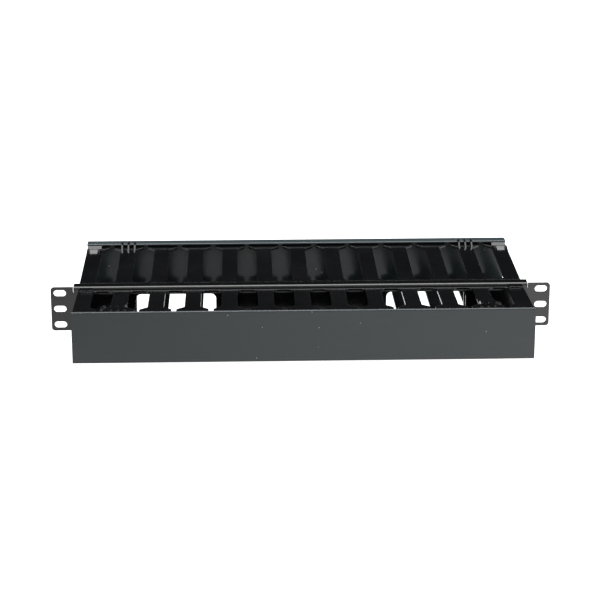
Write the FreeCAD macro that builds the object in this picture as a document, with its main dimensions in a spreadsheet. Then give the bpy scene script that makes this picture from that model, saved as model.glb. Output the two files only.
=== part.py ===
"""Horizontal cable manager, one rack unit high, with a duct in front and a deeper duct behind.

A folded steel panel bolts to the front posts of a 19-inch rack. A slotted duct is screwed to each
of its sides, and each duct is closed by a cover that swings on a bead along one long edge.

Frame: X runs along the rack's width, -Y is the front and +Z is up. The origin is the centre of the
panel's rear face, which lies on the rack posts.
"""
import FreeCAD, Part
import os
import re
import Sketcher

doc = FreeCAD.newDocument("CableManager")

# ---------------------------------------------------------------------------------------------
# Driving sizes, in millimetres
# ---------------------------------------------------------------------------------------------
SIZES = {
    # folded steel panel
    "panel_width": 482.6,
    "panel_height": 43.66,
    "sheet": 1.6,
    "bend_radius": 1.0,
    "flange_run": 438.8,
    "flange_reach": 10.4,
    "relief_width": 0.4,
    "relief_depth": 4.0,
    "ear_corner": 3.2,
    "rack_hole_spacing": 465.1,
    "rack_hole_pitch": 15.875,
    "slot_length": 12.0,
    "slot_width": 6.6,
    # windows that pass cables from one duct to the other
    "window_width": 77.0,
    "window_height": 30.0,
    "window_corner": 5.0,
    "window_setback": 1.2,
    # slotted ducts
    "finger_pitch": 34.5,
    "finger_width": 15.0,
    "gap_count": 12,
    "slit_width": 4.6,
    "head_length": 15.1,
    "shoulder_length": 7.4,
    "gap_root": 5.0,
    "gap_corner": 6.0,
    "duct_wall": 2.4,
    "root_corner": 3.0,
    "inner_corner": 1.5,
    "tip_half_height": 22.6,
    "front_depth": 84.1,
    "front_root_height": 19.4,
    "rear_depth": 129.9,
    "rear_root_height": 20.5,
    "standoff_gap": 2.0,
    "ridge_setback": 7.3,
    "ridge_width": 2.0,
    "ridge_height": 0.45,
    # raised pads on the front duct's end fingers
    "end_pad_length": 10.3,
    "end_pad_rise": 2.0,
    "end_pad_inset": 0.5,
    "end_pad_corner": 5.0,
    # thumb ramps on the rear duct's end fingers, and the stop behind each
    "tongue_width": 8.2,
    "tongue_setback": 48.0,
    "ramp_foot_setback": 62.0,
    "ramp_crest_setback": 30.0,
    "ramp_rise": 3.5,
    "ramp_back": 2.5,
    "stop_clearance": 0.8,
    "stop_width": 1.3,
    "stop_slope": 4.0,
    "stop_rise": 1.95,
    # hooks that locate the rear duct on the panel's flanges
    "flange_hook_count": 7,
    "flange_hook_pitch": 32.0,
    "flange_hook_width": 1.8,
    "flange_hook_reach": 7.0,
    "flange_hook_thickness": 1.2,
    "flange_hook_clearance": 0.15,
    # covers
    "cover_wall": 1.8,
    "cover_gap": 0.7,
    "cover_overhang": 0.5,
    "cover_corner": 2.2,
    "tip_clearance": 0.4,
    "rim_depth": 1.2,
    "rim_thickness": 2.2,
    # hinge bead of each cover and the hook fins that hold it
    "bead_radius": 1.2,
    "bead_setback": 11.2,
    "bead_clearance": 0.1,
    "notch_reach": 4.5,
    "notch_clearance": 0.6,
    "fin_width": 1.8,
    "fin_edge": 0.2,
    "fin_lead": 1.4,
    "fin_flat": 8.2,
    "fin_ramp": 6.2,
    "hook_wall": 1.1,
    "hook_mouth": 2.0,
    # fasteners
    "boss_radius": 5.0,
    "hole_clearance": 0.2,
    "screw_radius": 1.75,
    "screw_head_radius": 3.45,
    "screw_head_height": 2.4,
    "screw_crown_radius": 2.1,
    "screw_crown_height": 0.9,
    "screw_end": 1.5,
    "washer_radius": 4.5,
    "washer_clearance": 0.15,
    "washer_thickness": 0.8,
    "nut_flats": 7.0,
    "nut_height": 3.2,
    "thread_clearance": 0.05,
}
# Sizes that follow from the ones above, by name. They can be used in any formula.
DERIVED = {
    "duct_half_width": "((finger_pitch * gap_count + finger_width) / 2)",
    "end_finger": "(finger_pitch * gap_count / 2)",
    "window_offset": "(finger_pitch * 3.5)",
    "screw_row_outer": "(finger_pitch * (gap_count - 1) / 2)",
    "screw_row_inner": "(finger_pitch * 2)",
    "rear_standoff": "(flange_reach + standoff_gap)",
    "cover_face": "(tip_clearance + cover_wall)",
    "cover_half_height": "(tip_half_height + cover_gap + cover_wall)",
    "hinge_axis_height": "(cover_half_height - cover_wall / 2)",
    "socket_radius": "(bead_radius + bead_clearance)",
    "fin_height": "(hinge_axis_height + socket_radius + hook_wall)",
    "fin_pitch": "((finger_width - fin_width) / 2 - fin_edge)",
    "fin_end_setback": "(bead_setback - fin_lead)",
    "fin_crest_setback": "(bead_setback + fin_flat)",
    "fin_foot_setback": "(fin_crest_setback + fin_ramp)",
    "stop_setback": "(bead_setback + bead_radius + stop_clearance)",
    "screw_hole_radius": "(screw_radius + hole_clearance)",
    "washer_bore": "(screw_radius + washer_clearance)",
    "nut_bore": "(screw_radius + thread_clearance)",
    "nut_corner": "(nut_flats / 2 / cos(30))",
    "front_wall_face": "(-(sheet + duct_wall))",
    "rear_wall_face": "(rear_standoff + duct_wall)",
}
FINS_PER_HINGE = 3
HINGE_FINGER = 5  # fingers from the middle one to the one that carries a hinge
OVERRUN = 1.0     # how far a cutting outline runs past the solid

sheet = doc.addObject("Spreadsheet::Sheet", "Sizes")
for row, (alias, value) in enumerate(SIZES.items(), start=1):
    sheet.set(f"A{row}", alias)
    sheet.set(f"B{row}", str(value))
    sheet.setAlias(f"B{row}", alias)
doc.recompute()


def bound(formula):
    """The formula with each size's name turned into a reference to its cell."""
    return re.sub(r"[a-z]+(_[a-z]+)*", lambda word: reference(word.group()), str(formula))


def reference(word):
    if word in DERIVED:
        return bound(DERIVED[word])
    return f"Sizes.{word}" if word in SIZES else word


def value_of(formula):
    """The number that a formula of sizes gives now."""
    return float(sheet.evalExpression(bound(formula)))


# ---------------------------------------------------------------------------------------------
# Sketches and features
# ---------------------------------------------------------------------------------------------
def new_body(label):
    body = doc.addObject("PartDesign::Body", label)
    body.Label = label
    return body


def origin_feature(body, role):
    return next(item for item in body.Origin.OriginFeatures if item.Role == role)


def new_sketch(body, name, plane, offset=None):
    """A sketch on one of the body's own planes; offset holds formulas for x, y and z on it."""
    sketch = body.newObject("Sketcher::SketchObject", name)
    sketch.AttachmentSupport = (origin_feature(body, plane), [""])
    sketch.MapMode = "FlatFace"
    for axis, formula in (offset or {}).items():
        sketch.setExpression(f"AttachmentOffset.Base.{axis}", bound(formula))
    return sketch


def add_dimensioned(sketch, constraints):
    """Adds constraints given as (formula, kind, places...); one with no formula only joins."""
    made = []
    for formula, kind, *where in constraints:
        value = [] if formula is None else [value_of(formula)]
        made.append(Sketcher.Constraint(kind, *where, *value))
    for index, (formula, *_) in zip(sketch.addConstraint(made), constraints):
        if formula is not None:
            sketch.setExpression(f"Constraints[{index}]", bound(formula))


def add_outline(sketch, points, arcs=None):
    """A closed outline through points, given as pairs of formulas.

    arcs maps the number of an edge to (centre x, centre y, sense), with a sense of 1 for an arc
    that runs anticlockwise and -1 for one that runs clockwise.
    """
    arcs = arcs or {}
    corners = [FreeCAD.Vector(value_of(x), value_of(y), 0) for x, y in points]
    edges = []
    for number, start in enumerate(corners):
        end = corners[(number + 1) % len(corners)]
        if number in arcs:
            centre_x, centre_y, sense = arcs[number]
            centre = FreeCAD.Vector(value_of(centre_x), value_of(centre_y), 0)
            edges.append(arc_between(centre, start, end, sense))
        else:
            edges.append(Part.LineSegment(start, end))
    edge_numbers = sketch.addGeometry(edges)
    constraints = []
    for number, edge in enumerate(edge_numbers):
        following_number = (number + 1) % len(points)
        following = edge_numbers[following_number]
        last_point = 1 if is_clockwise(arcs, number) else 2
        first_point = 2 if is_clockwise(arcs, following_number) else 1
        x, y = points[following_number]
        constraints.append((None, "Coincident", edge, last_point, following, first_point))
        constraints.append((x, "DistanceX", -1, 1, following, first_point))
        constraints.append((y, "DistanceY", -1, 1, following, first_point))
        if number in arcs:
            chord = corners[following_number] - corners[number]
            if abs(chord.y) >= abs(chord.x):
                constraints.append((arcs[number][0], "DistanceX", -1, 1, edge, 3))
            else:
                constraints.append((arcs[number][1], "DistanceY", -1, 1, edge, 3))
    add_dimensioned(sketch, constraints)


def is_clockwise(arcs, number):
    return number in arcs and arcs[number][2] < 0


def arc_between(centre, start, end, sense):
    """The arc about centre from start to end; Sketcher keeps every arc anticlockwise."""
    first, last = (start, end) if sense == 1 else (end, start)
    axis = FreeCAD.Vector(1, 0, 0)
    up = FreeCAD.Vector(0, 0, 1)
    spokes = [point - centre for point in (first, last)]
    angles = [axis.getAngle(spoke) * (1 if spoke.y >= 0 else -1) for spoke in spokes]
    circle = Part.Circle(centre, up, spokes[0].Length)
    return Part.ArcOfCircle(circle, angles[0], angles[1])


def add_circle(sketch, x, y, radius):
    centre = FreeCAD.Vector(value_of(x), value_of(y), 0)
    circle = Part.Circle(centre, FreeCAD.Vector(0, 0, 1), value_of(radius))
    edge = sketch.addGeometry(circle)
    add_dimensioned(sketch, [(x, "DistanceX", -1, 1, edge, 3), (y, "DistanceY", -1, 1, edge, 3),
                             (radius, "Radius", edge)])


def add_rounded_rectangle(sketch, x, y, half_width, half_height, corner):
    """A rectangle about (x, y) with rounded corners, drawn anticlockwise."""
    points = []
    arcs = {}
    for number, (across, up) in enumerate(((1, -1), (1, 1), (-1, 1), (-1, -1))):
        side = (f"{x} + {across} * ({half_width})", f"{y} + {up} * ({half_height} - {corner})")
        cap = (f"{x} + {across} * ({half_width} - {corner})", f"{y} + {up} * ({half_height})")
        points += [cap, side] if across * up < 0 else [side, cap]
        arcs[2 * number] = (cap[0], side[1], 1)
    add_outline(sketch, points, arcs)


def add_slot(sketch, x, y, length, width):
    """A slot along the sketch's x with round ends."""
    reach = f"({length} - {width}) / 2"
    radius = f"({width}) / 2"
    points = [(f"{x} + {reach}", f"{y} - {radius}"), (f"{x} + {reach}", f"{y} + {radius}"),
              (f"{x} - {reach}", f"{y} + {radius}"), (f"{x} - {reach}", f"{y} - {radius}")]
    arcs = {0: (f"{x} + {reach}", y, 1), 2: (f"{x} - {reach}", y, 1)}
    add_outline(sketch, points, arcs)


def add_feature(body, kind, name, sketch, length=None, symmetric=False, reverse=False):
    """A Pad or Pocket of the sketch; with no length it runs through all."""
    feature = body.newObject(f"PartDesign::{kind}", name)
    feature.Profile = sketch
    feature.SideType = "Symmetric" if symmetric else "One side"
    feature.Reversed = reverse
    if length is None:
        feature.Type = "ThroughAll"
    else:
        feature.setExpression("Length", bound(length))
    sketch.Visibility = False
    doc.recompute()
    return feature


def add_revolution(body, name, sketch, axis):
    feature = body.newObject("PartDesign::Revolution", name)
    feature.Profile = sketch
    feature.ReferenceAxis = (sketch, [axis])
    feature.Angle = 360
    doc.recompute()
    return feature


def repeat_along_x(body, name, feature, spacing, count):
    pattern = body.newObject("PartDesign::LinearPattern", name)
    pattern.Originals = [feature]
    pattern.Direction = (origin_feature(body, "X_Axis"), [""])
    pattern.Mode = "Spacing"
    pattern.setExpression("Offset", bound(spacing))
    pattern.setExpression("Occurrences", bound(count))
    body.Tip = pattern
    doc.recompute()
    return pattern


# ---------------------------------------------------------------------------------------------
# Shared formulas
# ---------------------------------------------------------------------------------------------
SCREW_ROWS = {
    "left_outer": "-screw_row_outer",
    "left_inner": "-screw_row_inner",
    "right_inner": "screw_row_inner",
    "right_outer": "screw_row_outer",
}
FIN_OFFSETS = [f"fin_pitch * {number - (FINS_PER_HINGE - 1) / 2}" for number in range(FINS_PER_HINGE)]


# ---------------------------------------------------------------------------------------------
# Folded steel panel
# ---------------------------------------------------------------------------------------------
def make_panel():
    body = new_body("mounting_panel")
    web = new_sketch(body, "PanelOutline", "XZ_Plane")
    points = []
    arcs = {}
    web_top = "(panel_height / 2 - sheet - bend_radius)"
    notch = "(panel_height / 2 - relief_depth - sheet)"
    for across, up in ((1, -1), (1, 1), (-1, 1), (-1, -1)):
        rise = f"{up} * (panel_height / 2)"
        corner = [
            (f"{across} * (flange_run / 2)", f"{up} * {web_top}"),
            (f"{across} * (flange_run / 2)", f"{up} * {notch}"),
            (f"{across} * (flange_run / 2 + relief_width)", f"{up} * {notch}"),
            (f"{across} * (flange_run / 2 + relief_width)", rise),
            (f"{across} * (panel_width / 2 - ear_corner)", rise),
            (f"{across} * (panel_width / 2)", f"{up} * (panel_height / 2 - ear_corner)"),
        ]
        start = len(points)
        anticlockwise = across * up < 0
        points += corner if anticlockwise else corner[::-1]
        arcs[start + (4 if anticlockwise else 0)] = (
            f"{across} * (panel_width / 2 - ear_corner)",
            f"{up} * (panel_height / 2 - ear_corner)", 1)
    add_outline(web, points, arcs)
    add_feature(body, "Pad", "Panel", web, "sheet")

    flange = new_sketch(body, "FlangeOutline", "YZ_Plane")
    for up in (1, -1):
        outer = f"{up} * (panel_height / 2)"
        inner = f"{up} * (panel_height / 2 - sheet)"
        fold = f"{up} * {web_top}"
        centre = ("bend_radius", fold)
        points = [("-sheet", fold), ("0", fold), ("bend_radius", inner), ("flange_reach", inner),
                  ("flange_reach", outer), ("bend_radius", outer)]
        arcs = {1: (*centre, -up), 5: (*centre, up)}
        add_outline(flange, points, arcs)
    add_feature(body, "Pad", "Flanges", flange, "flange_run", symmetric=True)

    openings = new_sketch(body, "PanelOpenings", "XZ_Plane")
    for side in (-1, 1):
        add_rounded_rectangle(
            openings, f"{side} * window_offset", "0", "window_width / 2 + window_setback",
            "window_height / 2 + window_setback", "(window_corner + window_setback)")
        for step in (-1, 0, 1):
            add_slot(openings, f"{side} * rack_hole_spacing / 2", f"{step} * rack_hole_pitch",
                     "slot_length", "slot_width")
    for row in SCREW_ROWS.values():
        add_circle(openings, row, "0", "screw_hole_radius")
    add_feature(body, "Pocket", "PanelCutouts", openings, symmetric=True)
    return body


# ---------------------------------------------------------------------------------------------
# Slotted ducts, each drawn with its back wall on y = 0 and its fingers towards -y
# ---------------------------------------------------------------------------------------------
def arm_height(depth, root_height, setback):
    """Outer height of a finger at a distance from its tip; fingers spread slightly."""
    slope = f"(tip_half_height - {root_height}) / ({depth} - root_corner)"
    return f"(tip_half_height - {slope} * ({setback}))"


def add_duct_shell(body, depth, root_height):
    """The solid channel with its snap ridges, before it is hollowed."""
    outline = new_sketch(body, "DuctOutline", "YZ_Plane")
    upper = [("0", f"{root_height} - root_corner"), ("-root_corner", root_height)]
    for shift, rise in ((1, 0), (0, 1), (-1, 0)):
        setback = f"(ridge_setback + {shift} * ridge_width / 2)"
        height = arm_height(depth, root_height, setback)
        upper.append((f"{setback} - {depth}", f"{height} + {rise} * ridge_height"))
    upper.append((f"-{depth}", "tip_half_height"))
    lower = [(y, f"-({z})") for y, z in reversed(upper)]
    centre = f"{root_height} - root_corner"
    arcs = {0: ("-root_corner", centre, 1),
            len(upper) * 2 - 2: ("-root_corner", f"-({centre})", 1)}
    add_outline(outline, upper + lower, arcs)
    add_feature(body, "Pad", "DuctBlock", outline, "2 * duct_half_width", symmetric=True)


def hollow_duct(body, depth, root_height):
    """The cavity between the two rows of fingers."""
    cavity = new_sketch(body, "CavityOutline", "YZ_Plane")
    back = f"{root_height} - duct_wall"
    mouth = ("tip_half_height - duct_wall", f"-({depth} + {OVERRUN})")
    upper = [("-duct_wall", f"{back} - inner_corner"), ("-duct_wall - inner_corner", back),
             (mouth[1], mouth[0])]
    lower = [(y, f"-({z})") for y, z in reversed(upper)]
    centre = ("-duct_wall - inner_corner", f"{back} - inner_corner")
    arcs = {0: (*centre, 1), 4: (centre[0], f"-({centre[1]})", 1)}
    add_outline(cavity, upper + lower, arcs)
    add_feature(body, "Pocket", "Cavity", cavity, symmetric=True)


def cut_finger_gaps(body, depth):
    """One gap between two T-headed fingers, repeated along the duct."""
    gap = new_sketch(body, "GapOutline", "XY_Plane", {"x": "-finger_pitch * (gap_count - 1) / 2"})
    half_gap = "(finger_pitch - finger_width) / 2"
    neck = f"-({depth} - head_length)"
    shoulder = f"-({depth} - head_length - shoulder_length)"
    right = [("slit_width / 2", f"-({depth} + {OVERRUN})"), ("slit_width / 2", neck),
             (half_gap, shoulder), (half_gap, "-gap_root - gap_corner"),
             (f"{half_gap} - gap_corner", "-gap_root")]
    left = [(f"-({x})", y) for x, y in reversed(right)]
    arcs = {3: (f"{half_gap} - gap_corner", "-gap_root - gap_corner", 1),
            5: (f"-({half_gap} - gap_corner)", "-gap_root - gap_corner", 1)}
    add_outline(gap, right + left, arcs)
    pocket = add_feature(body, "Pocket", "FingerGap", gap, symmetric=True)
    repeat_along_x(body, "FingerGaps", pocket, "finger_pitch", "gap_count")


def add_hinge_fins(body, depth, root_height):
    """Hook fins above and below the second finger from each end, open towards the cover."""
    axis = f"(bead_setback - {depth})"
    throat = f"({axis} - sqrt(pow(socket_radius; 2) - pow(hook_mouth / 2; 2)))"
    end = f"(fin_end_setback - {depth})"
    foot = f"(fin_foot_setback - {depth})"
    end_base = f"{arm_height(depth, root_height, 'fin_end_setback')} - duct_wall / 2"
    foot_surface = arm_height(depth, root_height, "fin_foot_setback")
    for side in (-1, 1):
        for offset in FIN_OFFSETS:
            position = f"{side} * {HINGE_FINGER} * finger_pitch + {offset}"
            fin = new_sketch(body, "FinOutline", "YZ_Plane", {"z": position})
            for up in (1, -1):
                upper = [
                    (end, end_base),
                    (foot, f"{foot_surface} - duct_wall / 2"),
                    (foot, foot_surface),
                    (f"fin_crest_setback - {depth}", "fin_height"),
                    (end, "fin_height"),
                    (end, "hinge_axis_height + hook_mouth / 2"),
                    (throat, "hinge_axis_height + hook_mouth / 2"),
                    (throat, "hinge_axis_height - hook_mouth / 2"),
                    (end, "hinge_axis_height - hook_mouth / 2"),
                ]
                points = [(y, f"{up} * ({z})") for y, z in upper]
                arcs = {6: (axis, f"{up} * hinge_axis_height", -up)}
                add_outline(fin, points, arcs)
            add_feature(body, "Pad", "HingeFin", fin, "fin_width", symmetric=True)


def open_back_wall(body):
    """Cable windows and screw holes through the back wall."""
    openings = new_sketch(body, "WallOpenings", "XZ_Plane")
    for side in (-1, 1):
        add_rounded_rectangle(openings, f"{side} * window_offset", "0", "window_width / 2",
                              "window_height / 2", "window_corner")
    for row in SCREW_ROWS.values():
        add_circle(openings, row, "0", "screw_hole_radius")
    add_feature(body, "Pocket", "WallCutouts", openings, symmetric=True)


def add_end_pads(body):
    """Raised pads with a rounded front at the root of the two end fingers."""
    pads = new_sketch(body, "EndPadOutline", "XY_Plane")
    half = "(finger_width / 2 - end_pad_inset)"
    front = "-end_pad_length"
    for side in (-1, 1):
        middle = f"{side} * end_finger"
        points = [(f"{middle} + {half}", f"{front} + end_pad_corner"), (f"{middle} + {half}", "0"),
                  (f"{middle} - {half}", "0"), (f"{middle} - {half}", f"{front} + end_pad_corner"),
                  (f"{middle} - {half} + end_pad_corner", front),
                  (f"{middle} + {half} - end_pad_corner", front)]
        arcs = {3: (f"{middle} - {half} + end_pad_corner", f"{front} + end_pad_corner", 1),
                5: (f"{middle} + {half} - end_pad_corner", f"{front} + end_pad_corner", 1)}
        add_outline(pads, points, arcs)
    add_feature(body, "Pad", "EndPads", pads, "2 * (front_root_height + end_pad_rise)",
                symmetric=True)


def add_end_ramps(body, depth, root_height):
    """Thumb ramps on the end fingers: each side strip climbs a long hollow curve and the tongue
    between them a short steep one, to one crest, with a stop for the cover's rim behind it."""
    strip_width = "((finger_width - 2 * end_pad_inset - tongue_width) / 2)"
    strip_offset = f"((tongue_width + {strip_width}) / 2)"
    strips = [(f"-{strip_offset}", strip_width, "ramp_foot_setback"),
              ("0", "tongue_width", "tongue_setback"),
              (strip_offset, strip_width, "ramp_foot_setback")]
    stop_top = "(stop_setback + stop_width)"
    stop_foot = f"({stop_top} + stop_slope)"
    crest = f"({arm_height(depth, root_height, 'ramp_crest_setback')} + ramp_rise)"
    stop_height = f"({arm_height(depth, root_height, stop_top)} + stop_rise)"
    for side in (-1, 1):
        for offset, width, foot in strips:
            surface = arm_height(depth, root_height, foot)
            run = f"({foot} - ramp_crest_setback)"
            rise = f"({crest} - {surface})"
            radius = f"((pow({run}; 2) + pow({rise}; 2)) / (2 * {rise}))"
            profile = [
                ("stop_setback", f"{arm_height(depth, root_height, 'stop_setback')} - duct_wall / 2"),
                (foot, f"{surface} - duct_wall / 2"),
                (foot, surface),
                ("ramp_crest_setback", crest),
                ("ramp_crest_setback - ramp_back",
                 arm_height(depth, root_height, "(ramp_crest_setback - ramp_back)")),
                (stop_foot, arm_height(depth, root_height, stop_foot)),
                (stop_top, stop_height),
                ("stop_setback", stop_height),
            ]
            ramp = new_sketch(body, "EndRampOutline", "YZ_Plane", {"z": f"{side} * end_finger + {offset}"})
            for up in (1, -1):
                points = [(f"{setback} - {depth}", f"{up} * ({z})") for setback, z in profile]
                arcs = {2: (f"{foot} - {depth}", f"{up} * ({surface} + {radius})", -up)}
                add_outline(ramp, points, arcs)
            add_feature(body, "Pad", "EndRamp", ramp, width, symmetric=True)


def add_bosses(body):
    """Standoffs that carry the screws from the panel to the rear duct."""
    bosses = new_sketch(body, "BossOutline", "XZ_Plane")
    for row in SCREW_ROWS.values():
        add_circle(bosses, row, "0", "boss_radius")
    add_feature(body, "Pad", "Bosses", bosses, "rear_standoff", reverse=True)


def add_flange_hooks(body, root_height):
    """Ribs that reach over the panel's flanges and keep the rear duct level."""
    hook = new_sketch(body, "FlangeHookOutline", "YZ_Plane",
                      {"z": "-flange_hook_pitch * (flange_hook_count - 1) / 2"})
    under = "(panel_height / 2 + flange_hook_clearance)"
    over = f"({under} + flange_hook_thickness)"
    for up in (1, -1):
        upper = [("-duct_wall", f"{root_height} - duct_wall"), ("-duct_wall", over),
                 ("flange_hook_reach", over), ("flange_hook_reach", under), ("0", under),
                 ("0", f"{root_height} - duct_wall - root_corner"),
                 ("-duct_wall", f"{root_height} - duct_wall - root_corner")]
        points = [(y, f"{up} * ({z})") for y, z in upper]
        add_outline(hook, points)
    pad = add_feature(body, "Pad", "FlangeHook", hook, "flange_hook_width", symmetric=True)
    repeat_along_x(body, "FlangeHooks", pad, "flange_hook_pitch", "flange_hook_count")


def make_front_duct():
    body = new_body("front_duct")
    add_duct_shell(body, "front_depth", "front_root_height")
    add_end_pads(body)
    hollow_duct(body, "front_depth", "front_root_height")
    cut_finger_gaps(body, "front_depth")
    add_hinge_fins(body, "front_depth", "front_root_height")
    open_back_wall(body)
    body.setExpression("Placement.Base.y", bound("-sheet"))
    return body


def make_rear_duct():
    body = new_body("rear_duct")
    add_duct_shell(body, "rear_depth", "rear_root_height")
    hollow_duct(body, "rear_depth", "rear_root_height")
    cut_finger_gaps(body, "rear_depth")
    add_flange_hooks(body, "rear_root_height")
    add_end_ramps(body, "rear_depth", "rear_root_height")
    add_hinge_fins(body, "rear_depth", "rear_root_height")
    add_bosses(body)
    open_back_wall(body)
    body.Placement.Rotation = FreeCAD.Rotation(FreeCAD.Vector(0, 0, 1), 180)
    body.setExpression("Placement.Base.y", bound("rear_standoff"))
    return body


# ---------------------------------------------------------------------------------------------
# Covers, each drawn with its outer face on y = 0 and its hinge bead at the bottom
# ---------------------------------------------------------------------------------------------
def make_cover(label):
    body = new_body(label)
    bead_y = "(cover_face + bead_setback)"
    width = "2 * (duct_half_width + cover_overhang)"
    outline = new_sketch(body, "CoverOutline", "YZ_Plane")
    rim_radius = "(rim_thickness / 2)"
    rim_back = "(cover_wall + rim_depth)"
    rim_low = "(cover_half_height - rim_thickness)"
    points = [
        ("cover_corner", "-cover_half_height"),
        (bead_y, "-cover_half_height"),
        (bead_y, "cover_wall - cover_half_height"),
        ("cover_corner", "cover_wall - cover_half_height"),
        ("cover_wall", "cover_corner - cover_half_height"),
        ("cover_wall", rim_low),
        (f"{rim_back} - {rim_radius}", rim_low),
        (f"{rim_back} - {rim_radius}", "cover_half_height"),
        (rim_radius, "cover_half_height"),
        ("0", f"cover_half_height - {rim_radius}"),
        ("0", "cover_corner - cover_half_height"),
    ]
    arcs = {
        3: ("cover_corner", "cover_corner - cover_half_height", -1),
        6: (f"{rim_back} - {rim_radius}", f"cover_half_height - {rim_radius}", 1),
        8: (rim_radius, f"cover_half_height - {rim_radius}", 1),
        10: ("cover_corner", "cover_corner - cover_half_height", 1),
    }
    add_outline(outline, points, arcs)
    add_feature(body, "Pad", "CoverShell", outline, width, symmetric=True)

    notches = new_sketch(body, "NotchOutline", "XY_Plane")
    notch_half = "(fin_width / 2 + notch_clearance)"
    for side in (-1, 1):
        for offset in FIN_OFFSETS:
            middle = f"({side} * {HINGE_FINGER} * finger_pitch + {offset})"
            points = [(f"{middle} - {notch_half}", f"{bead_y} - notch_reach"),
                      (f"{middle} + {notch_half}", f"{bead_y} - notch_reach"),
                      (f"{middle} + {notch_half}", f"{bead_y} + {OVERRUN}"),
                      (f"{middle} - {notch_half}", f"{bead_y} + {OVERRUN}")]
            add_outline(notches, points)
    add_feature(body, "Pocket", "HingeNotches", notches, symmetric=True)

    bead = new_sketch(body, "BeadOutline", "YZ_Plane")
    add_circle(bead, bead_y, "-hinge_axis_height", "bead_radius")
    add_feature(body, "Pad", "HingeBead", bead, width, symmetric=True)
    return body


def make_front_cover():
    body = make_cover("front_cover")
    body.setExpression("Placement.Base.y", bound("-(sheet + front_depth + cover_face)"))
    return body


def make_rear_cover():
    body = make_cover("rear_cover")
    body.Placement.Rotation = FreeCAD.Rotation(FreeCAD.Vector(1, 0, 0), 180)
    body.setExpression("Placement.Base.y", bound("rear_standoff + rear_depth + cover_face"))
    return body


# ---------------------------------------------------------------------------------------------
# Fasteners, each drawn along y with its front face on y = 0
# ---------------------------------------------------------------------------------------------
def place(body, row, depth):
    body.setExpression("Placement.Base.x", bound(row))
    body.setExpression("Placement.Base.y", bound(depth))
    return body


def make_washer(label, row, depth):
    body = new_body(label)
    ring = new_sketch(body, "WasherOutline", "XZ_Plane")
    add_circle(ring, "0", "0", "washer_radius")
    add_circle(ring, "0", "0", "washer_bore")
    add_feature(body, "Pad", "Washer", ring, "washer_thickness", reverse=True)
    return place(body, row, depth)


def make_screw(label, row):
    """A pan-head machine screw, turned about its own axis, with its head's seat on y = 0."""
    body = new_body(label)
    shank = "(rear_wall_face + washer_thickness * 2 + nut_height + screw_end - front_wall_face)"
    half = new_sketch(body, "ScrewOutline", "YZ_Plane")
    points = [("-screw_head_height", "0"), (shank, "0"), (shank, "screw_radius"),
              ("0", "screw_radius"), ("0", "screw_head_radius"),
              ("-(screw_head_height - screw_crown_height)", "screw_head_radius"),
              ("-screw_head_height", "screw_crown_radius")]
    add_outline(half, points)
    add_revolution(body, "ScrewBody", half, "H_Axis")
    return place(body, row, "front_wall_face - washer_thickness")


def make_nut(label, row):
    body = new_body(label)
    outline = new_sketch(body, "NutOutline", "XZ_Plane")
    corners = [(f"nut_corner * cos({60 * step + 30})", f"nut_corner * sin({60 * step + 30})")
               for step in range(6)]
    add_outline(outline, corners)
    add_circle(outline, "0", "0", "nut_bore")
    add_feature(body, "Pad", "Nut", outline, "nut_height", reverse=True)
    return place(body, row, "rear_wall_face + washer_thickness")


# ---------------------------------------------------------------------------------------------
# Assembly
# ---------------------------------------------------------------------------------------------
pieces = [make_panel(), make_front_duct(), make_rear_duct(), make_front_cover(), make_rear_cover()]
for place_name, row_formula in SCREW_ROWS.items():
    pieces.append(make_screw(f"duct_screw_{place_name}", row_formula))
    pieces.append(make_washer(f"screw_washer_{place_name}", row_formula,
                              "front_wall_face - washer_thickness"))
    pieces.append(make_washer(f"nut_washer_{place_name}", row_formula, "rear_wall_face"))
    pieces.append(make_nut(f"hex_nut_{place_name}", row_formula))
doc.recompute()

for item in doc.Objects:
    faults = [state for state in item.State if state in ("Invalid", "Error")]
    if faults:
        raise RuntimeError(f"{item.Label} did not build: {faults}")
for piece in pieces:
    if piece.Shape.isNull() or not piece.Shape.isValid() or len(piece.Shape.Solids) != 1:
        raise RuntimeError(f"{piece.Label} is not one valid solid")

os.makedirs("parts", exist_ok=True)
for piece in pieces:
    piece.Shape.exportStep(f"parts/{piece.Label}.step")
    size = piece.Shape.BoundBox
    print(f"{piece.Label:28s} {size.XLength:8.2f} {size.YLength:8.2f} {size.ZLength:8.2f} mm")
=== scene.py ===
"""Finish, fasteners and stage of a one-unit horizontal cable manager.

The panel, ducts and covers keep their own meshes and get their finishes here. The four sets of
screw, washers and nut that clamp the ducts to the panel are drawn here in full, thread included.
Frame: X along the rack's width, -Y the front, +Z up, in metres.
"""
import math

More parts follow.
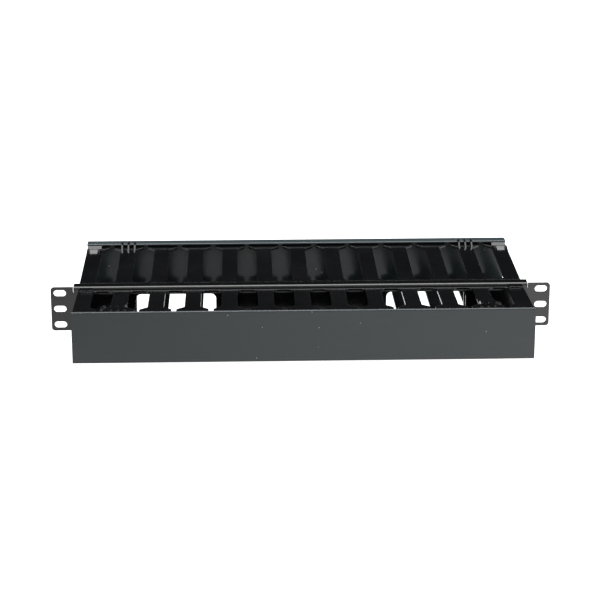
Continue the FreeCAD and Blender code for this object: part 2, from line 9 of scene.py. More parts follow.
import bmesh
import bpy
import numpy as np
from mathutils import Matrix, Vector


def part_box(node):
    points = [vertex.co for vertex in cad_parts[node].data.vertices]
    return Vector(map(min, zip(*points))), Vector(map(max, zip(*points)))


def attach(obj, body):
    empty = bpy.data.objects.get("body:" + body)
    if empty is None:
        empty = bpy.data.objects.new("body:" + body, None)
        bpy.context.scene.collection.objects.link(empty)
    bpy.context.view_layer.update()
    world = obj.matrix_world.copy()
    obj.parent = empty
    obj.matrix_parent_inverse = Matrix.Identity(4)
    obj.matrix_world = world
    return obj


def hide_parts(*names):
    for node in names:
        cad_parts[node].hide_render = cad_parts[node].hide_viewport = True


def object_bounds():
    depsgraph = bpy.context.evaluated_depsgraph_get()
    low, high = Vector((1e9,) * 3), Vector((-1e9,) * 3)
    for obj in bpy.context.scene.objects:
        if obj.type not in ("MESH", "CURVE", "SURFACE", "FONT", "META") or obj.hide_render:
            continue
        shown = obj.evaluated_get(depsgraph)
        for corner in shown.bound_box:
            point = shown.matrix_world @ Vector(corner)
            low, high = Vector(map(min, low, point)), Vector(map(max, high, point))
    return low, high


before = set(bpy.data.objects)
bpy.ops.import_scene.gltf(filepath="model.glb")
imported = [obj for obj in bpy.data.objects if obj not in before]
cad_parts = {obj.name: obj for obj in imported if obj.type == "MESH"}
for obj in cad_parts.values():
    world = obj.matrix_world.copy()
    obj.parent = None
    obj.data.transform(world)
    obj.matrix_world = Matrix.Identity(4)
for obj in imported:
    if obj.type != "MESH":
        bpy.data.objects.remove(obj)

bl_info = {
    "name": "Cable manager finish",
    "version": (1, 0, 0),
    "blender": (4, 5, 0),
    "location": "3D View > Sidebar > Cable Manager",
    "description": "Finishes, fasteners and stage of a rack cable manager",
    "category": "Object",
}

CAD_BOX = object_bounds()
ROWS = ("left_outer", "left_inner", "right_inner", "right_outer")
FLOOR_REACH = 6.0               # half the floor's width
LENS_SENSOR = 36.0              # millimetres


# ---------------------------------------------------------------------------------------------
# Sizes and colours
# ---------------------------------------------------------------------------------------------
def colour_property(name, description, default):
    """A linear colour."""
    return bpy.props.FloatVectorProperty(
        name=name, description=description, default=default, subtype="COLOR", min=0.0, max=1.0)


def length_property(name, description, default):
    """A length in metres."""
    return bpy.props.FloatProperty(
        name=name, description=description, default=default, unit="LENGTH", subtype="DISTANCE",
        precision=5)


def number_property(name, description, default):
    """A plain number."""
    return bpy.props.FloatProperty(
        name=name, description=description, default=default, precision=4)


def angle_property(name, description, default):
    """An angle whose default is given in degrees."""
    return bpy.props.FloatProperty(
        name=name, description=description, default=math.radians(default), unit="ROTATION",
        subtype="ANGLE", precision=5)


class CableManagerFinish(bpy.types.PropertyGroup):
    """Colours and surface detail of the panel, ducts and covers."""
    panel_colour: colour_property(
        "Panel colour", "Powder coat on the steel panel", (0.0014, 0.0018, 0.0019))
    duct_colour: colour_property(
        "Duct colour", "Moulded plastic of the ducts", (0.0020, 0.0022, 0.0027))
    cover_colour: colour_property(
        "Cover colour", "Extruded plastic of the covers", (0.032, 0.0435, 0.048))
    zinc_colour: colour_property("Zinc colour", "Black zinc on the fasteners", (0.10, 0.10, 0.11))
    dust_colour: colour_property("Dust colour", "Specks of dust on the plastic", (0.30, 0.30, 0.29))
    panel_edge: length_property("Panel edge", "Radius of the coat over the panel's edges", 0.0009)
    moulded_edge: length_property("Moulded edge", "Radius of the ducts' edges", 0.0013)
    cover_edge: length_property("Cover edge", "Radius of the covers' edges", 0.0009)


class CableManagerFasteners(bpy.types.PropertyGroup):
    """Form of the screws, washers and nuts beyond their plain sizes."""
    shank_radius: length_property("Shank radius", "Radius of the screws' thread at its crest", 0.00175)
    washer_bore: length_property("Washer bore", "Radius of the hole in a washer", 0.0019)
    head_height: length_property("Head height", "Crown included", 0.0024)
    crown_height: length_property("Crown height", "Rounded top of the head", 0.0009)
    thread_pitch: length_property("Thread pitch", "Rise of the thread in one turn", 0.0007)
    thread_depth: length_property("Thread depth", "From the crest to the root of the thread", 0.0004)
    plain_shank: length_property("Plain shank", "Unthreaded length under the head", 0.004)
    recess_radius: length_property("Recess radius", "Reach of the cross recess from the axis", 0.0021)
    recess_wall: length_property("Recess wall", "Slope's width at the side of a slot", 0.00025)
    recess_end: length_property("Recess end", "Slope's length at the end of a slot", 0.0005)
    recess_width: length_property("Recess width", "Width of each slot of the cross recess", 0.0011)
    recess_depth: length_property("Recess depth", "Depth of the cross recess", 0.0013)
    washer_corner: length_property("Washer corner", "Rounded corner of a stamped washer", 0.00018)
    nut_chamfer: length_property("Nut chamfer", "Height of the chamfer on a nut's corners", 0.0007)


class CableManagerStage(bpy.types.PropertyGroup):
    """Camera, lamps and floor."""
    azimuth: angle_property("Azimuth", "Turn of the camera about the vertical", -1.84)
    elevation: angle_property("Elevation", "Height of the camera above the floor, as an angle", 18.324)
    distance: length_property("Distance", "From the frame's origin to the camera along its axis", 1.9141)
    lens: number_property("Lens", "Focal length in millimetres on a 36 mm sensor", 118.50)
    shift_right: length_property("Sideways place", "Origin's place right of the camera's axis", 0.00113)
    shift_down: length_property("Vertical place", "Origin's place below the camera's axis", 0.005928)
    floor_drop: length_property("Floor drop", "Room under the part for the front cover's swing", 0.040)
    floor_colour: colour_property("Floor colour", "Pale floor", (0.40, 0.40, 0.40))
    floor_glow: number_property("Floor glow", "White added to the floor where it is seen", 0.95)
    # Painted reflection: floor glow seen only in glossy reflections, weaker on the left than on the
    # right.
    painted_reflection_left: number_property(
        "Gloss on the left", "White added to the floor's left where gloss mirrors it", 0.36)
    painted_reflection_right: number_property("Gloss on the right", "The same on the floor's right", 0.95)
    painted_reflection_reach: length_property(
        "Gloss reach", "From the middle to where the two values are reached", 0.24)
    world_light: number_property("World light", "Strength of the even light from all sides", 0.02)
    ceiling_light: number_property("Ceiling light", "Brightness of the large softbox overhead", 5.0)
    front_light: number_property("Front light", "Brightness of the softbox over the camera", 1.2)
    right_light: number_property("Right light", "Brightness of the softbox on the right", 2.0)


# ---------------------------------------------------------------------------------------------
# Shader node groups
# ---------------------------------------------------------------------------------------------
def new_group(name, inputs, outputs):
    """An empty shader group with named float inputs and (name, socket kind) outputs."""
    group = bpy.data.node_groups.new(name, "ShaderNodeTree")
    for label, default in inputs.items():
        socket = group.interface.new_socket(
            name=label, in_out="INPUT", socket_type="NodeSocketFloat")
        socket.default_value = default
    for label, kind in outputs.items():
        group.interface.new_socket(name=label, in_out="OUTPUT", socket_type=kind)
    start = group.nodes.new("NodeGroupInput")
    end = group.nodes.new("NodeGroupOutput")
    return group, start, end


def add_node(tree, kind, settings=None, **values):
    """A node with settings for its own properties and values for its input sockets by name."""
    node = tree.nodes.new(kind)
    for name, value in (settings or {}).items():
        setattr(node, name, value)
    for name, value in values.items():
        node.inputs[name.replace("_", " ")].default_value = value
    return node


def add_math(tree, operation, first, second=None, third=None, clamp=False):
    """A Math node whose operands are sockets or numbers."""
    node = tree.nodes.new("ShaderNodeMath")
    node.operation = operation
    node.use_clamp = clamp
    for index, operand in enumerate((first, second, third)):
        if isinstance(operand, (int, float)):
            node.inputs[index].default_value = operand
        elif operand is not None:
            tree.links.new(operand, node.inputs[index])
    return node.outputs[0]


def object_coordinates(tree, stretch=(1.0, 1.0, 1.0)):
    """Object coordinates, scaled along each axis."""
    coordinates = tree.nodes.new("ShaderNodeTexCoord")
    mapping = tree.nodes.new("ShaderNodeMapping")
    mapping.inputs["Scale"].default_value = stretch
    tree.links.new(coordinates.outputs["Object"], mapping.inputs["Vector"])
    return mapping.outputs["Vector"]


def noise(tree, vector, scale, detail, roughness=0.5):
    """Noise between 0 and 1 at scale cycles a metre."""
    node = add_node(tree, "ShaderNodeTexNoise", Scale=scale, Detail=detail, Roughness=roughness)
    tree.links.new(vector, node.inputs["Vector"])
    return node.outputs["Fac"]


def map_range(tree, value, low, high, to_low=0.0, to_high=1.0):
    """Value carried from low..high to to_low..to_high, held at the ends."""
    node = tree.nodes.new("ShaderNodeMapRange")
    node.clamp = True
    limits = {"From Min": low, "From Max": high, "To Min": to_low, "To Max": to_high}
    for label, number in limits.items():
        if isinstance(number, (int, float)):
            node.inputs[label].default_value = number
        else:
            tree.links.new(number, node.inputs[label])
    tree.links.new(value, node.inputs["Value"])
    return node.outputs["Result"]


def mix_colours(tree, factor, first, second, blend="MIX"):
    """A colour mix whose factor, first and second are sockets or constants."""
    node = tree.nodes.new("ShaderNodeMix")
    node.data_type = "RGBA"
    node.blend_type = blend
    for socket, value in ((node.inputs[0], factor), (node.inputs[6], first), (node.inputs[7], second)):
        if isinstance(value, bpy.types.NodeSocket):
            tree.links.new(value, socket)
        else:
            socket.default_value = value if isinstance(value, float) else (*value, 1.0)
    return node.outputs[2]


def make_edge_group():
    """Rounded edges: the normal that a small radius on every edge would give, and a mask of the
    edges, where that normal leaves the true one, broken into patches: a painted highlight that
    lightens the colour along the edges."""
    group, start, end = new_group(
        "rounded_edges", {"Radius": 0.0005, "Wear": 0.5},
        {"Normal": "NodeSocketVector", "Edge": "NodeSocketFloat"})
    bevel = tree_bevel(group, start.outputs["Radius"])
    geometry = group.nodes.new("ShaderNodeNewGeometry")
    agreement = group.nodes.new("ShaderNodeVectorMath")
    agreement.operation = "DOT_PRODUCT"
    group.links.new(bevel, agreement.inputs[0])
    group.links.new(geometry.outputs["Normal"], agreement.inputs[1])
    bend = add_math(group, "SUBTRACT", 1.0, agreement.outputs["Value"], clamp=True)
    edge = map_range(group, bend, 0.02, 0.25)
    patches = map_range(group, noise(group, object_coordinates(group), 190.0, 4.0), 0.42, 0.62)
    highlighted = add_math(group, "MULTIPLY", edge, patches)
    # Painted highlight: the patchy edge mask, scaled by its strength, says where the colour is
    # lightened.
    group.links.new(add_math(group, "MULTIPLY", highlighted, start.outputs["Wear"]), end.inputs["Edge"])
    group.links.new(bevel, end.inputs["Normal"])
    return group


def tree_bevel(tree, radius):
    """The normal of a surface whose edges are rounded to a radius."""
    bevel = tree.nodes.new("ShaderNodeBevel")
    bevel.samples = 6
    tree.links.new(radius, bevel.inputs["Radius"])
    return bevel.outputs["Normal"]


def make_grain_group():
    """Surface grain: a height from a fine noise, and a slow value for uneven gloss."""
    group, start, end = new_group(
        "surface_grain", {"Grain size": 0.001, "Stretch": 1.0},
        {"Height": "NodeSocketFloat", "Unevenness": "NodeSocketFloat"})
    stretch = add_node(group, "ShaderNodeCombineXYZ", Y=1.0, Z=1.0)
    group.links.new(start.outputs["Stretch"], stretch.inputs["X"])
    scaled = group.nodes.new("ShaderNodeVectorMath")
    scaled.operation = "MULTIPLY"
    group.links.new(object_coordinates(group), scaled.inputs[0])
    group.links.new(stretch.outputs[0], scaled.inputs[1])
    frequency = add_math(group, "DIVIDE", 1.0, start.outputs["Grain size"])
    fine = group.nodes.new("ShaderNodeTexNoise")
    fine.inputs["Detail"].default_value = 3.0
    group.links.new(scaled.outputs[0], fine.inputs["Vector"])
    group.links.new(frequency, fine.inputs["Scale"])
    slow = noise(group, scaled.outputs[0], 26.0, 4.0, 0.6)
    group.links.new(fine.outputs["Fac"], end.inputs["Height"])
    group.links.new(slow, end.inputs["Unevenness"])
    return group


def make_dust_group():
    """Dust: small round specks, thinned out by a slow noise and towards +X."""
    group, start, end = new_group(
        "dust_specks", {"Spacing": 0.008, "Speck size": 0.0006, "Amount": 0.5},
        {"Mask": "NodeSocketFloat"})
    position = object_coordinates(group)
    cells = group.nodes.new("ShaderNodeTexVoronoi")
    group.links.new(position, cells.inputs["Vector"])
    group.links.new(add_math(group, "DIVIDE", 1.0, start.outputs["Spacing"]), cells.inputs["Scale"])
    away = add_math(group, "MULTIPLY", cells.outputs["Distance"], start.outputs["Spacing"])
    chance = group.nodes.new("ShaderNodeSeparateColor")
    group.links.new(cells.outputs["Color"], chance.inputs["Color"])
    size = add_math(group, "MULTIPLY", chance.outputs["Green"], start.outputs["Speck size"])
    speck = add_math(group, "LESS_THAN", away, size)
    drift = map_range(group, noise(group, position, 9.0, 3.0), 0.40, 0.68)
    across = group.nodes.new("ShaderNodeSeparateXYZ")
    group.links.new(position, across.inputs[0])
    dusty_end, clean_end, clean_share = -0.20, 0.10, 0.12
    leftward = map_range(group, across.outputs["X"], dusty_end, clean_end, 1.0, clean_share)
    drift = add_math(group, "MULTIPLY", drift, leftward)
    level = add_math(group, "MULTIPLY", drift, start.outputs["Amount"])
    kept = add_math(group, "LESS_THAN", chance.outputs["Red"], level)
    group.links.new(add_math(group, "MULTIPLY", speck, kept), end.inputs["Mask"])
    return group


def place_group(tree, group, **values):
    """A node for a shared group, with values for its input sockets by name."""
    node = tree.nodes.new("ShaderNodeGroup")
    node.node_tree = group
    for name, value in values.items():
        node.inputs[name.replace("_", " ")].default_value = value
    return node


def shared_group(name, maker):
    """The node group of that name, made the first time it is asked for."""
    return bpy.data.node_groups.get(name) or maker()


# ---------------------------------------------------------------------------------------------
# Materials
# ---------------------------------------------------------------------------------------------
def new_material(name):
    """A material with its node tree and its Principled shader."""
    material = bpy.data.materials.new(name)
    material.use_nodes = True
    tree = material.node_tree
    return material, tree, tree.nodes["Principled BSDF"]


def add_surface(tree, shader, colour, edge_radius, highlight_amount, highlight_colour, grain_size, stretch, bump,
                gloss, gloss_spread, mottling, dust_colour=None, dust_spacing=0.01,
                speck_size=0.0005, dust_amount=0.0):
    """The finish that the painted and the plastic pieces share: an uneven colour with edges lightened
    as a painted highlight, and specks, an uneven gloss, a fine grain and rounded edges."""
    edges = place_group(tree, shared_group("rounded_edges", make_edge_group),
                        Radius=edge_radius, Wear=highlight_amount)
    grain = place_group(tree, shared_group("surface_grain", make_grain_group),
                        Grain_size=grain_size, Stretch=stretch)
    uneven = grain.outputs["Unevenness"]
    light = tuple(min(1.0, channel * (1.0 + mottling)) for channel in colour)
    dark = tuple(channel * (1.0 - mottling) for channel in colour)
    base = mix_colours(tree, map_range(tree, uneven, 0.35, 0.65), dark, light)
    # Painted highlight: the colour is lightened towards a pale colour along the edges.
    base = mix_colours(tree, edges.outputs["Edge"], base, highlight_colour)
    rough = map_range(tree, uneven, 0.3, 0.7, gloss - gloss_spread, gloss + gloss_spread)
    if dust_colour is not None:
        specks = place_group(tree, shared_group("dust_specks", make_dust_group),
                             Spacing=dust_spacing, Speck_size=speck_size, Amount=dust_amount)
        base = mix_colours(tree, specks.outputs["Mask"], base, dust_colour)
    tree.links.new(base, shader.inputs["Base Color"])
    tree.links.new(rough, shader.inputs["Roughness"])
    relief = add_node(tree, "ShaderNodeBump", Strength=bump, Distance=0.0002)
    tree.links.new(grain.outputs["Height"], relief.inputs["Height"])
    tree.links.new(edges.outputs["Normal"], relief.inputs["Normal"])
    tree.links.new(relief.outputs["Normal"], shader.inputs["Normal"])


def powder_coat(finish):
    """Satin powder coat on steel, with a fine orange peel and edges made paler as a painted highlight.
    """
    material, tree, shader = new_material("black_powder_coat")
    add_surface(tree, shader, finish.panel_colour, finish.panel_edge, highlight_amount=0.3,
                highlight_colour=(0.02, 0.021, 0.022), grain_size=0.0011, stretch=1.0, bump=0.06,
                gloss=0.13, gloss_spread=0.03, mottling=0.10)
    shader.inputs["Specular IOR Level"].default_value = 0.65
    return material


def moulded_plastic(finish):
    """Near-black moulded plastic with a semi-gloss skin."""
    material, tree, shader = new_material("black_moulding")
    # The edges are lightened a little as a painted highlight.
    add_surface(tree, shader, finish.duct_colour, finish.moulded_edge, highlight_amount=0.15,
                highlight_colour=(0.03, 0.03, 0.032), grain_size=0.0007, stretch=1.0, bump=0.05,
                gloss=0.14, gloss_spread=0.03, mottling=0.25, dust_colour=finish.dust_colour,
                dust_spacing=0.011, speck_size=0.0004, dust_amount=0.25)
    shader.inputs["Specular IOR Level"].default_value = 0.45
    return material


def extruded_plastic(finish):
    """Satin extruded plastic: faint streaks along its length, specks of dust, and corners made pale as a
    painted highlight.
    """
    material, tree, shader = new_material("cover_plastic")
    add_surface(tree, shader, finish.cover_colour, finish.cover_edge, highlight_amount=0.35,
                highlight_colour=(0.09, 0.095, 0.10), grain_size=0.0006, stretch=0.12, bump=0.08,
                gloss=0.18, gloss_spread=0.03, mottling=0.07, dust_colour=finish.dust_colour,
                dust_spacing=0.0065, speck_size=0.0012, dust_amount=0.8)
    shader.inputs["Specular IOR Level"].default_value = 0.5
    return material


def zinc_plate(finish):
    """Black zinc plate, slightly clouded."""
    material, tree, shader = new_material("zinc_steel")
    grain = place_group(tree, shared_group("surface_grain", make_grain_group),
                        Grain_size=0.0008, Stretch=1.0)
    cloud = map_range(tree, grain.outputs["Height"], 0.3, 0.7)
    pale = tuple(min(1.0, channel * 1.12) for channel in finish.zinc_colour)
    base = mix_colours(tree, cloud, tuple(finish.zinc_colour), pale)
    tree.links.new(base, shader.inputs["Base Color"])
    tree.links.new(map_range(tree, cloud, 0.0, 1.0, 0.24, 0.38), shader.inputs["Roughness"])
    shader.inputs["Metallic"].default_value = 1.0
    return material


def dress(node, material):
    """Puts the material on every slot of a frame node."""
    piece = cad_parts[node]
    if not piece.material_slots:
        piece.data.materials.append(material)
    for slot in piece.material_slots:
        slot.material = material


# ---------------------------------------------------------------------------------------------
# Fasteners, each a grid of stations along the axis by steps round it
# ---------------------------------------------------------------------------------------------
def grid_mesh(name, x, y, z, material, wrap_rows=False):
    """A mesh from arrays of stations by steps, closed round the steps, and round the stations too
    when wrap_rows is set. Rows whose points coincide close the ends."""
    stations, steps = x.shape
    points = np.stack([x, y, z], axis=-1).reshape(-1, 3)
    rows = np.arange(stations if wrap_rows else stations - 1)
    row, step = np.meshgrid(rows, np.arange(steps), indexing="ij")
    next_row = (row + 1) % stations
    next_step = (step + 1) % steps
    corners = np.stack([row * steps + step, row * steps + next_step,
                        next_row * steps + next_step, next_row * steps + step], axis=-1)
    mesh = bpy.data.meshes.new(name)
    mesh.from_pydata(points.tolist(), [], corners.reshape(-1, 4).tolist())
    mesh.validate()
    mesh.materials.append(material)
    piece = bpy.data.objects.new(name, mesh)
    bpy.context.scene.collection.objects.link(piece)
    return piece


def finish_mesh(piece, smooth_angle=35.0):
    """Merges coincident points, turns the faces outwards and smooths all but sharp edges."""
    surface = bmesh.new()
    surface.from_mesh(piece.data)
    bmesh.ops.remove_doubles(surface, verts=surface.verts, dist=1e-7)
    bmesh.ops.recalc_face_normals(surface, faces=surface.faces)
    for face in surface.faces:
        face.smooth = True
    for edge in surface.edges:
        edge.smooth = edge.calc_face_angle(0.0) < math.radians(smooth_angle)
    surface.to_mesh(piece.data)
    surface.free()


def node_axis(node):
    """Axis place (x, z), the low and high end along y, and the outer radius of a turned node."""
    low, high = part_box(node)
    return (low.x + high.x) / 2, (low.z + high.z) / 2, low.y, high.y, (high.x - low.x) / 2


def screw_surface(node, fasteners, steps=64):
    """Stations run from the middle of the head, out over its crown, down its side and seat, and
    along the shank to the end. On the crown the depth grows by the recess depth inside a cross of
    two slots. On the shank the radius is the crest radius less the thread depth times a triangle
    wave of (distance / pitch - angle / full turn)."""
    axis_x, axis_z, front, back, head_radius = node_axis(node)
    head = fasteners.head_height
    crown = fasteners.crown_height
    angle = np.linspace(0.0, 2.0 * math.pi, steps, endpoint=False)
    over = np.linspace(0.0, 1.0, 26)
    crown_radius = head_radius * np.sin(over * math.pi / 2)
    crown_depth = crown * (1.0 - np.cos(over * math.pi / 2)) ** 1.2
    shank = np.linspace(front + head, back, 170)
    shank_radius = np.full(shank.size, fasteners.shank_radius)
    radius = np.concatenate([crown_radius, [head_radius, head_radius], shank_radius, [0.0]])
    depth = np.concatenate(
        [front + crown_depth, [front + crown * 1.5, front + head], shank, [back]])
    radius = np.repeat(radius[:, None], steps, axis=1)
    depth = np.repeat(depth[:, None], steps, axis=1)
    turn = np.repeat(angle[None, :], radius.shape[0], axis=0)
    across = np.minimum(np.abs(radius * np.sin(turn)), np.abs(radius * np.cos(turn)))
    on_crown = np.arange(radius.shape[0])[:, None] < over.size - 1
    in_slot = np.clip((fasteners.recess_width / 2 - across) / fasteners.recess_wall, 0.0, 1.0)
    in_reach = np.clip((fasteners.recess_radius - radius) / fasteners.recess_end, 0.0, 1.0)
    depth = depth + on_crown * in_slot * in_reach * fasteners.recess_depth
    along = depth - (front + head)
    wave = np.abs(((along / fasteners.thread_pitch - turn / (2 * math.pi)) % 1.0) * 2.0 - 1.0)
    start = np.clip((along - fasteners.plain_shank) / fasteners.thread_pitch, 0.0, 1.0)
    on_shank = (along > 0) & (radius > 0)
    radius = radius - on_shank * start * wave * fasteners.thread_depth
    return axis_x + radius * np.cos(turn), depth, axis_z + radius * np.sin(turn)


def washer_surface(node, bore, corner, steps=72):
    """A ring whose section is a rectangle with rounded corners: each station is a point of that
    section, and each step turns it about the axis."""
    axis_x, axis_z, front, back, outer = node_axis(node)
    corners = [(outer, back, 0.0), (bore, back, 90.0), (bore, front, 180.0), (outer, front, 270.0)]
    radius, depth = [], []
    for edge_radius, edge_depth, start in corners:
        sweep = np.radians(start + np.linspace(0.0, 90.0, 5))
        inward = -1.0 if edge_radius == outer else 1.0
        below = -1.0 if edge_depth == back else 1.0
        radius.append(edge_radius + inward * corner + corner * np.cos(sweep))
        depth.append(edge_depth + below * corner + corner * np.sin(sweep))
    radius = np.concatenate(radius)[:, None]
    depth = np.concatenate(depth)[:, None]
    angle = np.linspace(0.0, 2.0 * math.pi, steps, endpoint=False)[None, :]
    return axis_x + radius * np.cos(angle), depth + 0.0 * angle, axis_z + radius * np.sin(angle)


def nut_surface(node, bore, chamfer, steps=96):
    """A ring whose outer radius is the smaller of a hexagon, flats / 2 / cos(angle from the middle
    of the flat), and a cone that opens from each end face by one over tan 30 degrees."""
    axis_x, axis_z, front, back, half_width = node_axis(node)
    angle = np.linspace(0.0, 2.0 * math.pi, steps, endpoint=False)
    sixth = math.pi / 3
    from_flat = (angle + sixth / 2) % sixth - sixth / 2
    hexagon = half_width / np.cos(from_flat)
    length = back - front
    height = np.concatenate(
        [np.linspace(0.0, chamfer, 8), np.linspace(length - chamfer, length, 8)])
    from_end = np.minimum(height, length - height)
    cone = half_width * 0.96 + from_end * math.sqrt(3.0)
    outer = np.minimum(hexagon[None, :], cone[:, None])
    inner = np.full((1, steps), bore)
    relief = bore * 1.12
    countersink = np.full((1, steps), relief)
    radius = np.concatenate([inner, countersink, outer, countersink, inner])
    ends = [[relief - bore], [0.0], height, [length], [length - (relief - bore)]]
    depth = front + np.concatenate(ends)[:, None] + np.zeros((1, steps))
    turn = angle[None, :]
    return axis_x + radius * np.cos(turn), depth, axis_z + radius * np.sin(turn)


def fit(piece, node):
    """Closes the piece and puts it in the place of a frame node."""
    finish_mesh(piece)
    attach(piece, "chassis")
    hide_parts(node)


# ---------------------------------------------------------------------------------------------
# Operators
# ---------------------------------------------------------------------------------------------
class FinishPanel(bpy.types.Operator):
    """Coat the steel mounting panel"""
    bl_idname = "cable_manager.finish_panel"
    bl_label = "Finish the panel"

    def execute(self, context):
        dress("mounting_panel", powder_coat(context.scene.cable_manager_finish))
        return {"FINISHED"}


class FinishDucts(bpy.types.Operator):
    """Give both ducts their moulded plastic"""
    bl_idname = "cable_manager.finish_ducts"
    bl_label = "Finish the ducts"

    def execute(self, context):
        material = moulded_plastic(context.scene.cable_manager_finish)
        for node in ("front_duct", "rear_duct"):
            dress(node, material)
        return {"FINISHED"}


class FinishCovers(bpy.types.Operator):
    """Give both covers their extruded plastic"""
    bl_idname = "cable_manager.finish_covers"
    bl_label = "Finish the covers"

    def execute(self, context):
        material = extruded_plastic(context.scene.cable_manager_finish)
        for node in ("front_cover", "rear_cover"):
            dress(node, material)
        return {"FINISHED"}


class BuildFasteners(bpy.types.Operator):
    """Draw the screws, washers and nuts between the ducts"""
    bl_idname = "cable_manager.build_fasteners"
    bl_label = "Build the fasteners"

    def execute(self, context):
        fasteners = context.scene.cable_manager_fasteners
        material = zinc_plate(context.scene.cable_manager_finish)
        nut_bore = fasteners.shank_radius * 1.03
        for row in ROWS:
            node = f"duct_screw_{row}"
            surface = screw_surface(node, fasteners)
            fit(grid_mesh(f"screw_{row}", *surface, material), node)
            for side in ("screw", "nut"):
                node = f"{side}_washer_{row}"
                surface = washer_surface(node, fasteners.washer_bore, fasteners.washer_corner)
                piece = grid_mesh(f"washer_{side}_{row}", *surface, material, wrap_rows=True)
                fit(piece, node)
            node = f"hex_nut_{row}"
            surface = nut_surface(node, nut_bore, fasteners.nut_chamfer)
            fit(grid_mesh(f"nut_{row}", *surface, material, wrap_rows=True), node)
        return {"FINISHED"}


def camera_axes(stage):
    """Unit vectors right, up and back of the camera."""
    azimuth, elevation = stage.azimuth, stage.elevation
    back = np.array([math.sin(azimuth) * math.cos(elevation),
                     -math.cos(azimuth) * math.cos(elevation), math.sin(elevation)])
    right = np.array([math.cos(azimuth), math.sin(azimuth), 0.0])
    return right, np.cross(back, right), back


def add_softbox(name, place, target, width, height, radiance):
    """A rectangular lamp of a given brightness that faces the target."""
    lamp = bpy.data.lights.new(name, "AREA")
    lamp.shape = "RECTANGLE"
    lamp.size = width
    lamp.size_y = height
    lamp.energy = radiance * math.pi * width * height
    holder = bpy.data.objects.new(name, lamp)
    holder.location = place
    aim = np.array(target) - np.array(place)
    holder.rotation_euler = Vector(aim).to_track_quat("-Z", "Y").to_euler()
    bpy.context.scene.collection.objects.link(holder)


def floor_material(stage):
    """Pale matt floor with white added: an even amount where it is seen directly or through glass,
    and, as a painted reflection, an amount that grows along X where gloss mirrors it, so that glossy
    faces look more lit on the right."""
    material, tree, shader = new_material("floor_paper")
    shader.inputs["Base Color"].default_value = (*stage.floor_colour, 1.0)
    shader.inputs["Roughness"].default_value = 0.9
    shader.inputs["Specular IOR Level"].default_value = 0.1
    path = tree.nodes.new("ShaderNodeLightPath")
    seen = add_math(tree, "MAXIMUM", path.outputs["Is Camera Ray"],
                    path.outputs["Is Transmission Ray"])
    across = tree.nodes.new("ShaderNodeSeparateXYZ")
    tree.links.new(object_coordinates(tree), across.inputs[0])
    # Painted reflection: glow that only glossy rays see, rising towards +X.
    painted_reflection = map_range(tree, across.outputs["X"], -stage.painted_reflection_reach, stage.painted_reflection_reach,
                         stage.painted_reflection_left, stage.painted_reflection_right)
    painted_reflection = add_math(tree, "MULTIPLY", painted_reflection, path.outputs["Is Glossy Ray"])
    strength = add_math(tree, "MULTIPLY_ADD", seen, stage.floor_glow, painted_reflection)
    glow = tree.nodes.new("ShaderNodeEmission")
    tree.links.new(strength, glow.inputs["Strength"])
    both = tree.nodes.new("ShaderNodeAddShader")
    tree.links.new(shader.outputs[0], both.inputs[0])
    tree.links.new(glow.outputs[0], both.inputs[1])
    tree.links.new(both.outputs[0], tree.nodes["Material Output"].inputs["Surface"])
    return material


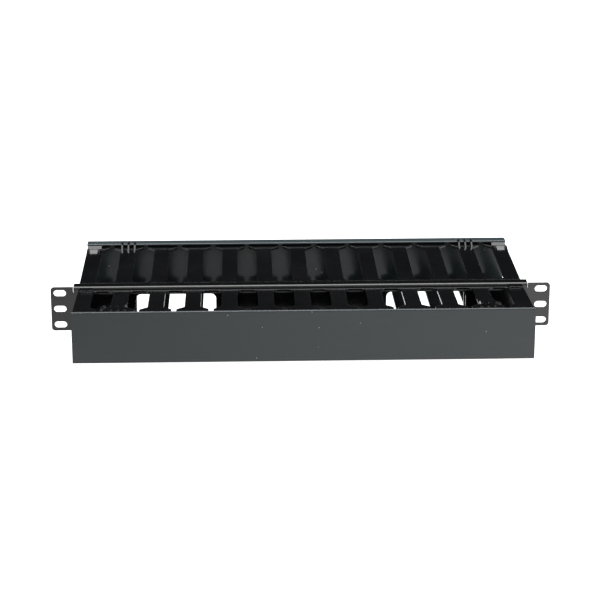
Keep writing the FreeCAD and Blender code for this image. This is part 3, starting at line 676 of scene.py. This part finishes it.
class BuildStage(bpy.types.Operator):
    """Lay the floor and set the lamps and the camera"""
    bl_idname = "cable_manager.build_stage"
    bl_label = "Build the stage"

    def execute(self, context):
        scene = context.scene
        stage = scene.cable_manager_stage
        scene.view_settings.view_transform = "Standard"

        low = CAD_BOX[0].z - stage.floor_drop
        corners = [(x * FLOOR_REACH, y * FLOOR_REACH, low)
                   for x, y in ((-1, -1), (1, -1), (1, 1), (-1, 1))]
        mesh = bpy.data.meshes.new("floor")
        mesh.from_pydata(corners, [], [(0, 1, 2, 3)])
        mesh.materials.append(floor_material(stage))
        floor = bpy.data.objects.new("floor", mesh)
        scene.collection.objects.link(floor)

        world = scene.world or bpy.data.worlds.new("studio")
        scene.world = world
        world.use_nodes = True
        background = world.node_tree.nodes["Background"]
        background.inputs["Color"].default_value = (1.0, 1.0, 1.0, 1.0)
        background.inputs["Strength"].default_value = stage.world_light

        middle = (0.0, 0.0, 0.0)
        add_softbox("softbox_ceiling", place=(0.0, 0.5, 1.4), target=(0.0, 0.5, 0.0),
                    width=2.4, height=2.0, radiance=stage.ceiling_light)
        add_softbox("softbox_front", place=(0.0, -2.0, 1.1), target=middle,
                    width=1.8, height=0.9, radiance=stage.front_light)
        add_softbox("softbox_right", place=(1.7, -1.3, 0.7), target=middle,
                    width=0.8, height=0.8, radiance=stage.right_light)

        right, up, back = camera_axes(stage)
        place = back * stage.distance - right * stage.shift_right + up * stage.shift_down
        matrix = np.eye(4)
        matrix[:3, 0], matrix[:3, 1], matrix[:3, 2], matrix[:3, 3] = right, up, back, place
        lens = bpy.data.cameras.new("camera")
        lens.sensor_width = LENS_SENSOR
        lens.lens = stage.lens
        lens.clip_start = 0.05
        camera = bpy.data.objects.new("camera", lens)
        camera.matrix_world = Matrix(matrix.tolist())
        scene.collection.objects.link(camera)
        scene.camera = camera
        return {"FINISHED"}


class CableManagerPanel(bpy.types.Panel):
    """Lists the steps that dress the cable manager"""
    bl_idname = "VIEW3D_PT_cable_manager"
    bl_label = "Cable Manager"
    bl_space_type = "VIEW_3D"
    bl_region_type = "UI"
    bl_category = "Cable Manager"

    def draw(self, context):
        for operator in OPERATORS:
            self.layout.operator(operator.bl_idname)


OPERATORS = (FinishPanel, FinishDucts, FinishCovers, BuildFasteners, BuildStage)
GROUPS = {
    "cable_manager_finish": CableManagerFinish,
    "cable_manager_fasteners": CableManagerFasteners,
    "cable_manager_stage": CableManagerStage,
}


def register():
    for group in GROUPS.values():
        bpy.utils.register_class(group)
    for name, group in GROUPS.items():
        setattr(bpy.types.Scene, name, bpy.props.PointerProperty(type=group))
    for kind in OPERATORS + (CableManagerPanel,):
        bpy.utils.register_class(kind)


def unregister():
    for kind in reversed(OPERATORS + (CableManagerPanel,)):
        bpy.utils.unregister_class(kind)
    for name in GROUPS:
        delattr(bpy.types.Scene, name)
    for group in reversed(list(GROUPS.values())):
        bpy.utils.unregister_class(group)


def main():
    register()
    bpy.ops.cable_manager.finish_panel()
    bpy.ops.cable_manager.finish_ducts()
    bpy.ops.cable_manager.finish_covers()
    bpy.ops.cable_manager.build_fasteners()
    bpy.ops.cable_manager.build_stage()


if __name__ == "__main__":
    main()
